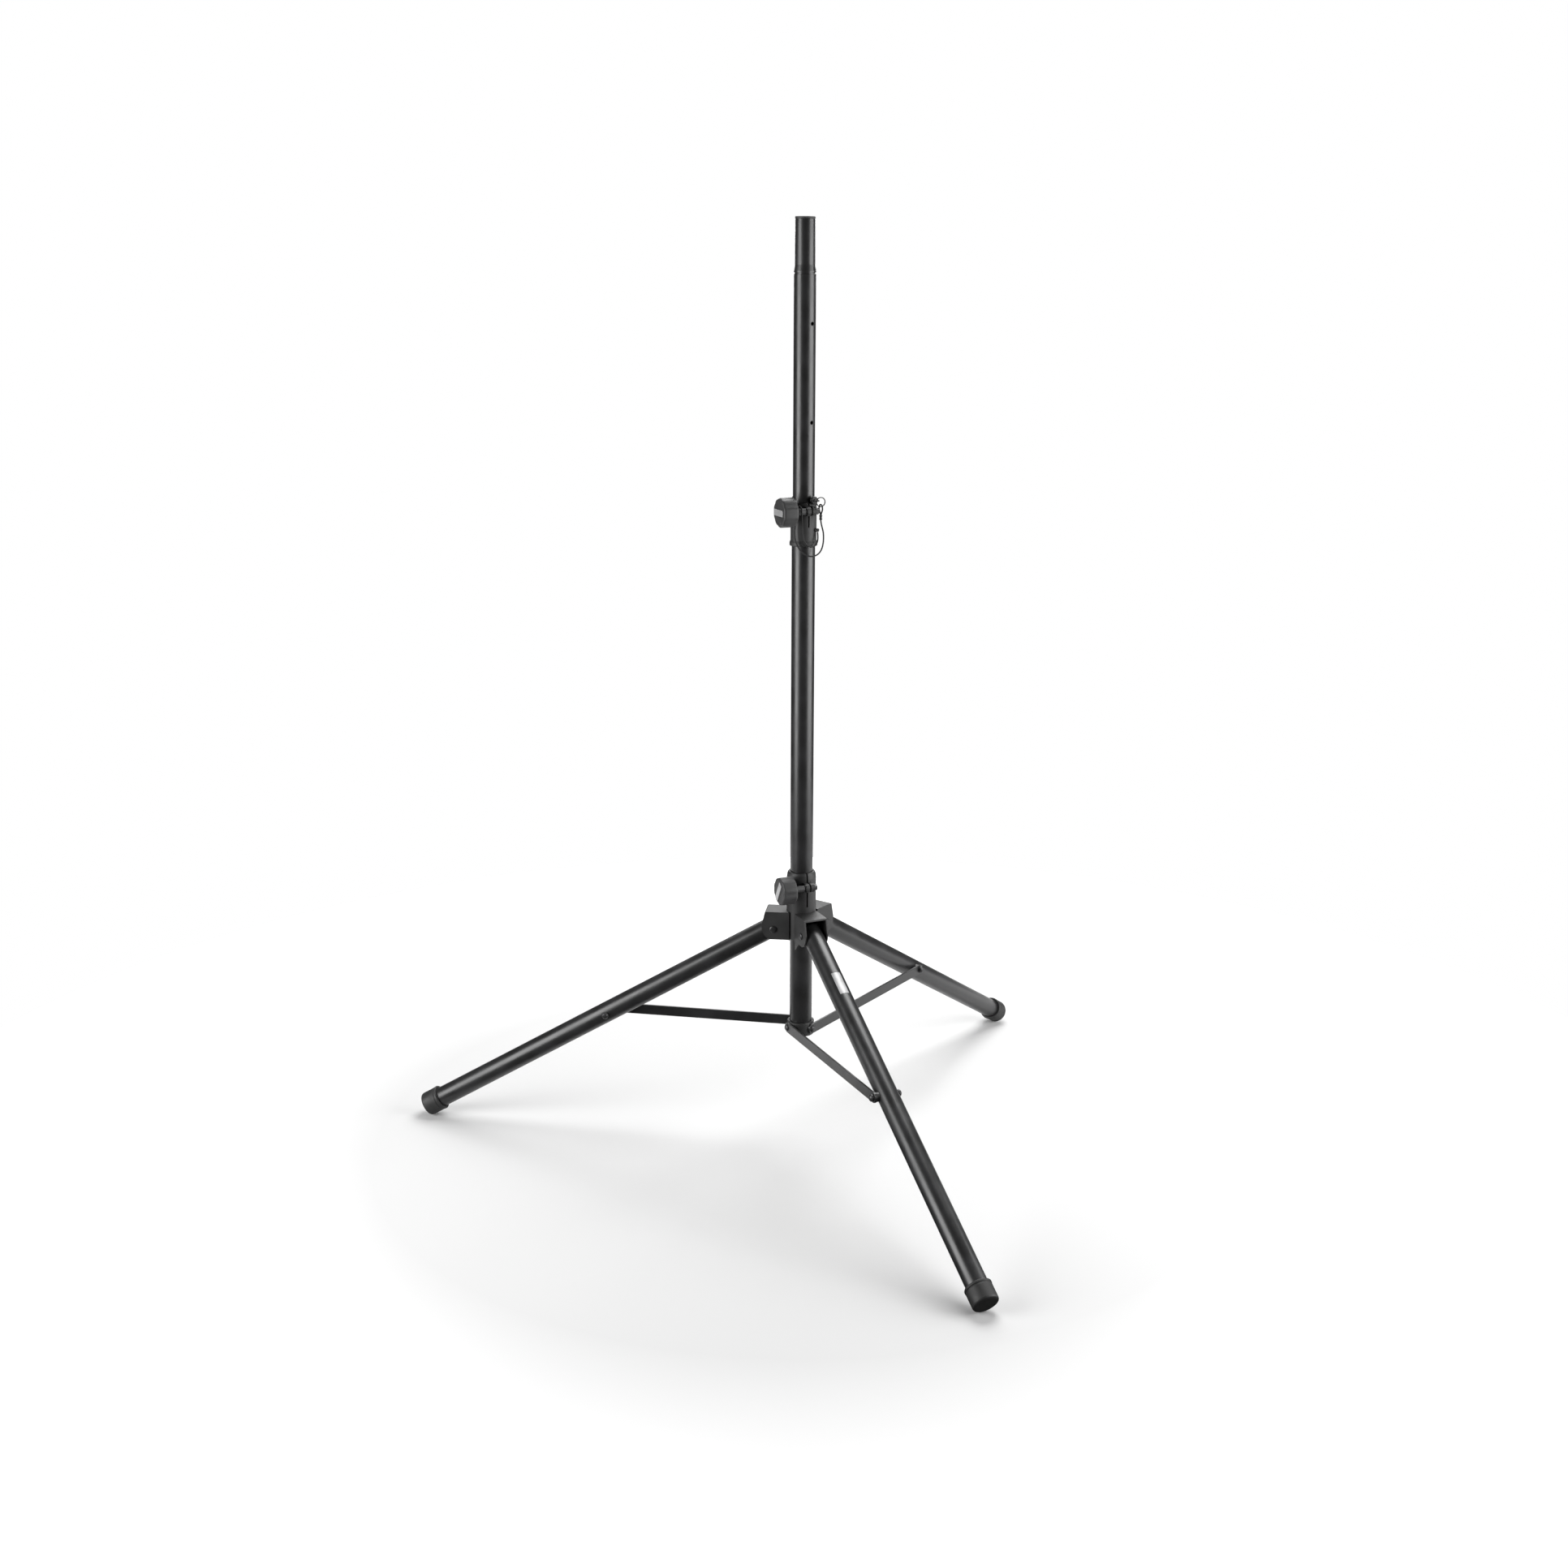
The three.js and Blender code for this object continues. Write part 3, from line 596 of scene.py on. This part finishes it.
bottom = lathe([
    (0, 206), (25, 206, 2.2), (25, 231.7, 1), (19.05, 231.7), (19.05, 262, 1.5), (13, 262),
    (13, 236), (0, 236),
])
bottom = cut(bottom, *[
    block((-40, -60, 200), (40, -23.7, 236), POLE @ turn("Z", azimuth))
    for azimuth in LEG_AZIMUTHS
])
dress(bottom, "bottom_hub", HUB, "mast", 0.4)
for i, azimuth in enumerate(LEG_AZIMUTHS, 1):
    place = POLE @ turn("Z", azimuth) @ shift(0, 0, BRACE_PIVOT) @ ALONG_Y
    screw = together(
        rod(4, -28.8, -10, place),
        lathe([(0, -31.3), (4, -31.3, 2), (6.5, -29.3, 1), (6.5, -28.3, 0.2), (0, -28.3)],
              place, 64),
    )
    dress(screw, f"brace_screw_{i}", HARDWARE, "mast")

# ---- telescoping pole -----------------------------------------------------------------------
tube = pipe(17.55, 19.05, 640, 1587, edge=0.5)
tube = cut(tube, *[
    rod(3.5, -30, 30, POLE @ turn("Z", PIN_AZIMUTH) @ shift(0, 0, height) @ ALONG_X)
    for height in PIN_HOLES
])
dress(tube, "upper_tube", POWDER, "upper_pole")

spigot = lathe([
    (15.5, 1540), (17.25, 1540), (17.25, 1587.3), (17.8, 1587.3), (17.8, 1589.3),
    (19.05, 1589.3, 0.5), (19.05, 1591.5, 1.5), (17.45, 1602, 6), (17.45, 1677, 0.3),
    (15.5, 1677),
], closed=True)
dress(spigot, "pole_spigot", POWDER, "upper_pole")
cap = lathe([
    (0, 1665.3), (15.2, 1665.3), (15.2, 1677.3), (17.45, 1677.3, 0.3), (17.45, 1681, 1.0),
    (0, 1681),
])
dress(cap, "spigot_cap", KNOB, "upper_pole")
RIVET_PLACE = POLE @ turn("Z", -53) @ shift(0, 0, 1594) @ ALONG_X
rivet = together(
    rod(2, 15, 19.6, RIVET_PLACE),
    lathe([(0, 19.4), (3, 19.4, 0.2), (2, 20.3, 0.6), (0, 20.3)], RIVET_PLACE, 40),
)
dress(rivet, "spigot_rivet", HARDWARE, "upper_pole")

# ---- safety pin -----------------------------------------------------------------------------
PIN_PLACE = POLE @ turn("Z", PIN_AZIMUTH) @ shift(0, 0, 1205)
pin = lathe([
    (0, -28), (3.1, -28, 1.6), (3.1, 23.4, 0.2), (7, 23.4, 1), (7, 29, 1.2), (0, 29),
], PIN_PLACE @ ALONG_X, 64)
tab = prism(
    [(28, -4.5), (37.5, -4.5, 4.4), (37.5, 4.5, 4.4), (28, 4.5)], -1.5, 1.5, PIN_PLACE,
)
tab = cut(tab, rod(2.4, -5, 5, PIN_PLACE @ shift(33, 0, 0)))
dress(together(pin, tab), "safety_pin", KNOB, "safety_pin", 0.3)

RING_PLACE = POLE @ shift(18.886, -31.01, 1202.5) @ turn("X", 90)
wire = [
    (8 + math.cos(2 * math.pi * k / 20), math.sin(2 * math.pi * k / 20)) for k in range(20)
]
ring = lathe(wire, RING_PLACE, 120, closed=True)
dress(ring, "pin_ring", WIRE, "safety_pin")

knob("upper_knob", -30, 1187, 0)
knob("hub_knob", -34.6, 501, 60)


# ---- tripod hub -----------------------------------------------------------------------------
def hub_arm():
    upright = POLE @ turn("X", 90)
    outline = [
        (20, 396), (56, 396, 4), (64, 400, 5), (70, 410, 6), (71.5, 421, 4), (65, 449, 3),
        (20, 449),
    ]
    arm = prism(outline, -22.5, 22.5, upright, 4)
    arm = cut(arm, block((27.9, -20, 360), (90, 20, 446)), rod(22.9, 376, 518, segments=FINE))
    gusset = prism([(22, 397), (22, 381, 1), (25, 380, 1), (40, 397)], 20, 22.5, upright, 4)
    return together(arm, gusset)


barrel = lathe([
    (22.9, 396), (27, 396, 0.8), (27, 514, 8), (26, 521, 4), (24, 525, 1.6), (21.05, 525, 0.5),
    (21.05, 518), (22.9, 518),
], closed=True)
barrel = cut(barrel, block((-1.4, -49.6, 461), (1.4, -18, 528)))
arm = hub_arm()
about_pole = [POLE @ turn("Z", azimuth) @ POLE.inverted() for azimuth in LEG_AZIMUTHS]
arms = [copied(arm, place) for place in about_pole]
bpy.data.objects.remove(arm)
hub = together(barrel, *clamp_ears(-34.6, 501, 25.0), *arms)
dress(hub, "tripod_hub", HUB, "tripod_hub", 0.5)
clamp_hardware("hub", -34.6, 501, "tripod_hub")

for i, azimuth in enumerate(LEG_AZIMUTHS, 1):
    around = POLE @ turn("Z", azimuth)
    place = around @ shift(LEG_PIVOT[0], 0, LEG_PIVOT[1]) @ ALONG_Y
    bolt = together(
        rod(4, -23.3, 24, place),
        lathe([(0, -25.2), (4.5, -25.2, 1.5), (6.5, -23.8, 0.8), (6.5, -22.8, 0.2), (0, -22.8)],
              place, 64),
    )
    dress(bolt, f"leg_pivot_bolt_{i}", HARDWARE, "tripod_hub")
    nut = lathe([
        (4.3, 22.8), (6.5, 22.8, 0.2), (6.5, 24.4, 0.8), (4.5, 25.8, 1), (0, 25.8), (0, 24.5),
        (4.3, 24.5), (4.3, 22.8),
    ], place, 64)
    dress(nut, f"leg_pivot_nut_{i}", HARDWARE, "tripod_hub")

    # ---- leg --------------------------------------------------------------------------------
    leg = around @ shift(LEG_PIVOT[0], 0, LEG_PIVOT[1]) @ turn("Y", LEG_ANGLE)
    body = f"leg_{i}"
    dress(pipe(17.85, 19.05, -9, 781, leg @ ALONG_X), f"leg_tube_{i}", POWDER, body)
    plug = lathe([(0, -11.8), (17.55, -11.8, 1.5), (17.55, -5), (0, -5)], leg @ ALONG_X)
    dress(plug, f"leg_plug_{i}", BUSH, body)
    boot = lathe([
        (0, 781.4), (19.35, 781.4), (19.35, 752.4, 0.3), (22.8, 752.4, 1), (23.6, 753.8, 1),
        (23.6, 756.4, 0.9), (22.3, 757.8, 0.6), (23, 759.6, 1), (23, 783.4, 2),
        (22.1, 786, 2), (19, 787.4, 1.5), (0, 787.4),
    ], leg @ ALONG_X)
    dress(boot, f"foot_{i}", RUBBER, body)
    at_brace = leg @ shift(BRACE_AT, 0, 0) @ ALONG_Y
    bolt = together(
        rod(4, -23.7, 20.4, at_brace),
        lathe([(0, 19.35), (6.5, 19.35, 0.2), (6.5, 22.35, 1.2), (4, 25.35, 2.5), (0, 25.35)],
              at_brace, 64),
    )
    dress(bolt, f"brace_bolt_{i}", HARDWARE, body)
    spacer = pipe(4.3, 8.5, -23.7, -12, at_brace, segments=64)
    spacer = cut(spacer, rod(19.35, BRACE_AT - 20, BRACE_AT + 20, leg @ ALONG_X, FINE))
    dress(spacer, f"brace_spacer_{i}", BUSH, body)

    # ---- brace ------------------------------------------------------------------------------
    bar = around @ shift(0, 0, BRACE_PIVOT) @ turn("Y", -BRACE_ANGLE)
    outline = [
        (9.5 * math.cos(math.radians(90 + 7.5 * k)), 9.5 * math.sin(math.radians(90 + 7.5 * k)))
        for k in range(25)
    ]
    outline += [(BRACE_LENGTH - x, -z) for x, z in outline]
    blade = prism(outline, 24, 28, bar @ turn("X", 90))
    dress(blade, f"brace_{i}", POWDER, f"brace_{i}", 0.7)
    end = bar @ shift(BRACE_LENGTH, 0, 0) @ ALONG_Y
    dome = together(
        rod(4, -28.8, -24.2, end),
        lathe([(0, -34.8), (3.5, -34.8, 2), (6.5, -32.3, 2), (6.5, -28.3, 0.2), (0, -28.3)],
              end, 64),
    )
    dress(dome, f"brace_nut_{i}", HARDWARE, f"brace_{i}")

# ---- blank label on the front leg -------------------------------------------------------------
LABEL = {"near": 108, "far": 156, "centre": 90, "half": 26}


def leg_label():
    """A thin sheet wrapped on the tube; the angle is counted about the leg, from its right."""
    leg = (POLE @ turn("Z", LEG_AZIMUTHS[0]) @ shift(LEG_PIVOT[0], 0, LEG_PIVOT[1])
           @ turn("Y", LEG_ANGLE))
    bm = bmesh.new()
    rows, columns = 12, 16
    layers = []
    for radius in (19.07, 19.2):
        layer = []
        for r in range(rows + 1):
            x = LABEL["near"] + (LABEL["far"] - LABEL["near"]) * r / rows
            line = []
            for c in range(columns + 1):
                a = math.radians(LABEL["centre"] + LABEL["half"] * (2 * c / columns - 1))
                line.append(bm.verts.new((x, radius * math.cos(a), radius * math.sin(a))))
            layer.append(line)
        layers.append(layer)
    inner, outer = layers
    for layer in layers:
        for r in range(rows):
            for c in range(columns):
                bm.faces.new((layer[r][c], layer[r][c + 1], layer[r + 1][c + 1], layer[r + 1][c]))
    for r in range(rows):
        for c in (0, columns):
            bm.faces.new((inner[r][c], inner[r + 1][c], outer[r + 1][c], outer[r][c]))
    for c in range(columns):
        for r in (0, rows):
            bm.faces.new((inner[r][c], inner[r][c + 1], outer[r][c + 1], outer[r][c]))
    label = to_object("leg_label", bm, leg)
    dress(label, None, PLATE, "leg_1", name="leg_label")


leg_label()

# ---- CAD nodes that are kept --------------------------------------------------------------------
KEPT = {
    "collar_bush": BUSH, "hub_bush": BUSH, "tube_glide": BUSH,
    "upper_knob_insert": BRASS, "hub_knob_insert": BRASS,
}
for node, material in KEPT.items():
    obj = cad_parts[node]
    obj.data.materials.clear()
    obj.data.materials.append(material)
    smooth(obj)


# ---- floor, backdrop and light ------------------------------------------------------------------
FLOOR_RADIUS = 1.8
FLOOR_GLOW = (0.03, 0.85)


def stage_piece(name, bm, height=0.0):
    mesh = bpy.data.meshes.new(name)
    bm.to_mesh(mesh)
    bm.free()
    obj = bpy.data.objects.new(name, mesh)
    obj.location = (0, POLE_Y * MM, height)
    scene.collection.objects.link(obj)
    material, nodes, links, shader = new_material(name, 0.9, specular=0.0)
    shader.inputs["Emission Color"].default_value = (1, 1, 1, 1)
    material.cycles.emission_sampling = "NONE"
    mesh.materials.append(material)
    return obj, nodes, links, shader


def half_floor(name, angle, in_gloss):
    """Half a disc that glows more towards its rim, where it meets the white of the backdrop.
    The half before the object stays out of its gloss, as a dark studio does."""
    bm = bmesh.new()
    start = math.radians(CAMERA_TURN + angle)
    bm.faces.new([
        bm.verts.new((
            FLOOR_RADIUS * math.cos(start + math.pi * k / 64),
            FLOOR_RADIUS * math.sin(start + math.pi * k / 64),
            0,
        ))
        for k in range(65)
    ])
    obj, nodes, links, shader = stage_piece(name, bm, cad_box[0].z - 0.0002)
    obj.visible_glossy = in_gloss
    shader.inputs["Base Color"].default_value = (0.55, 0.55, 0.55, 1)
    distance = nodes.new("ShaderNodeVectorMath")
    distance.operation = "LENGTH"
    links.new(nodes.new("ShaderNodeTexCoord").outputs["Object"], distance.inputs[0])
    ramp = nodes.new("ShaderNodeMapRange")
    ramp.inputs["From Min"].default_value = 0.8
    ramp.inputs["From Max"].default_value = FLOOR_RADIUS
    ramp.inputs["To Min"].default_value = FLOOR_GLOW[0]
    ramp.inputs["To Max"].default_value = FLOOR_GLOW[1]
    links.new(distance.outputs["Value"], ramp.inputs["Value"])
    links.new(ramp.outputs["Result"], shader.inputs["Emission Strength"])


def backdrop():
    """A white dome all round. Only the camera sees it, so the gloss stays dark between lamps."""
    bm = bmesh.new()
    bmesh.ops.create_uvsphere(bm, u_segments=48, v_segments=24, radius=30)
    obj, _, _, shader = stage_piece("backdrop", bm)
    shader.inputs["Base Color"].default_value = (0, 0, 0, 1)
    shader.inputs["Emission Strength"].default_value = 1.0
    obj.visible_diffuse = obj.visible_glossy = obj.visible_shadow = False


def lamp(name, angle, distance, height, aim_height, width, tall, power):
    """An area light round the pole, at an angle from the camera's side, in metres."""
    data = bpy.data.lights.new(name, "AREA")
    data.shape, data.size, data.size_y, data.energy = "RECTANGLE", width, tall, power
    obj = bpy.data.objects.new(name, data)
    scene.collection.objects.link(obj)
    centre = Vector((0, POLE_Y * MM, 0))
    spot = centre + turn("Z", CAMERA_TURN + angle) @ Vector((0, -distance, height))
    aim = centre + Vector((0, 0, aim_height))
    obj.location = spot
    obj.rotation_euler = (aim - spot).to_track_quat("-Z", "Y").to_euler()
    obj.visible_camera = False


half_floor("floor_behind", 0, True)
half_floor("floor_before", 180, False)
backdrop()
lamp("left_box", -62, 2.5, 1.15, 1.15, 1.5, 2.1, 80)
lamp("right_box", 76, 2.3, 1.15, 1.15, 2.0, 2.1, 80)
lamp("back_box", 180, 2.6, 2.2, 0.6, 3.0, 1.2, 60)
lamp("key", 157, 1.25, 2.9, 0.1, 1.9, 1.9, 95)
sky = bpy.data.worlds.new("studio")
sky.use_nodes = True
sky.node_tree.nodes["Background"].inputs["Color"].default_value = (1, 1, 1, 1)
sky.node_tree.nodes["Background"].inputs["Strength"].default_value = 0.03
scene.world = sky
